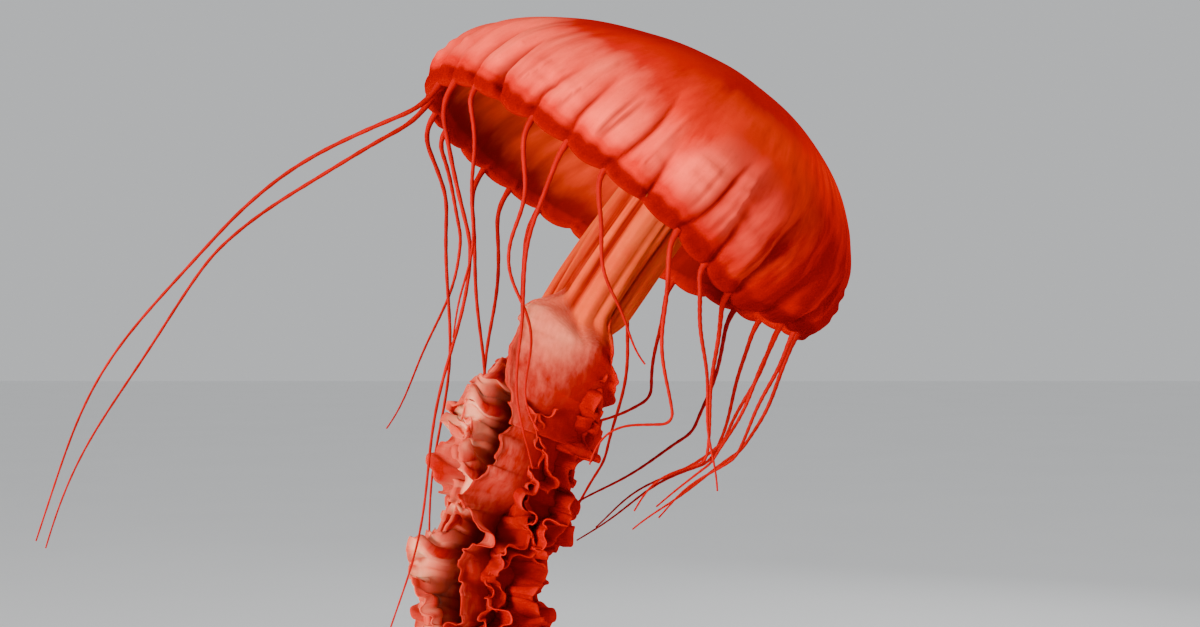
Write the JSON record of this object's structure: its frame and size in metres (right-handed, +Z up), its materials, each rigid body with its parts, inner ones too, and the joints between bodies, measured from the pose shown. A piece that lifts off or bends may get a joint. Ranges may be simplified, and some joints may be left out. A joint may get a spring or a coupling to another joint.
{
  "type": "jellyfish",
  "caption": "Life-size still model of a sea nettle jellyfish, bell banked and arms trailing, held by a bent rod on a round base.",
  "frame": {"origin": "centre of the underside of the stand's round base, on the floor", "axes": "+Z up, +X toward the side the crown leans to, -Y toward the near side"},
  "size_m": [0.5034, 0.2943, 0.7134],
  "materials": {
    "bell": "satin",
    "bell_margin": "satin",
    "manubrium": "satin",
    "oral_arm": "satin",
    "tentacle": "satin",
    "stand_base": "satin",
    "stand_rod": "satin"
  },
  "bodies": {
    "root": {"bell": "bell", "bell_margin": "bell_margin", "manubrium": "manubrium", "oral_arm_right_upper": "oral_arm", "oral_arm_right_middle": "oral_arm", "oral_arm_right_lower": "oral_arm", "oral_arm_back_upper": "oral_arm", "oral_arm_back_middle": "oral_arm", "oral_arm_back_lower": "oral_arm", "oral_arm_left_upper": "oral_arm", "oral_arm_left_middle": "oral_arm", "oral_arm_left_lower": "oral_arm", "oral_arm_front_upper": "oral_arm", "oral_arm_front_middle": "oral_arm", "oral_arm_front_lower": "oral_arm", "tentacle_01_upper": "tentacle", "tentacle_01_lower": "tentacle", "tentacle_02_upper": "tentacle", "tentacle_02_lower": "tentacle", "tentacle_03_upper": "tentacle", "tentacle_03_lower": "tentacle", "tentacle_04_upper": "tentacle", "tentacle_04_lower": "tentacle", "tentacle_05_upper": "tentacle", "tentacle_05_lower": "tentacle", "tentacle_06_upper": "tentacle", "tentacle_06_lower": "tentacle", "tentacle_07_upper": "tentacle", "tentacle_07_lower": "tentacle", "tentacle_08_upper": "tentacle", "tentacle_08_lower": "tentacle", "tentacle_09_upper": "tentacle", "tentacle_09_lower": "tentacle", "tentacle_10_upper": "tentacle", "tentacle_10_lower": "tentacle", "tentacle_11_upper": "tentacle", "tentacle_11_lower": "tentacle", "tentacle_12_upper": "tentacle", "tentacle_12_lower": "tentacle", "tentacle_13_upper": "tentacle", "tentacle_13_lower": "tentacle", "tentacle_14_upper": "tentacle", "tentacle_14_lower": "tentacle", "tentacle_15": "tentacle", "tentacle_16_upper": "tentacle", "tentacle_16_lower": "tentacle", "tentacle_17_upper": "tentacle", "tentacle_17_lower": "tentacle", "tentacle_18": "tentacle", "tentacle_19": "tentacle", "tentacle_20": "tentacle", "tentacle_21": "tentacle", "tentacle_22": "tentacle", "tentacle_23": "tentacle", "tentacle_24": "tentacle", "stand_base": "stand_base", "stand_rod": "stand_rod"}
  },
  "joints": []
}
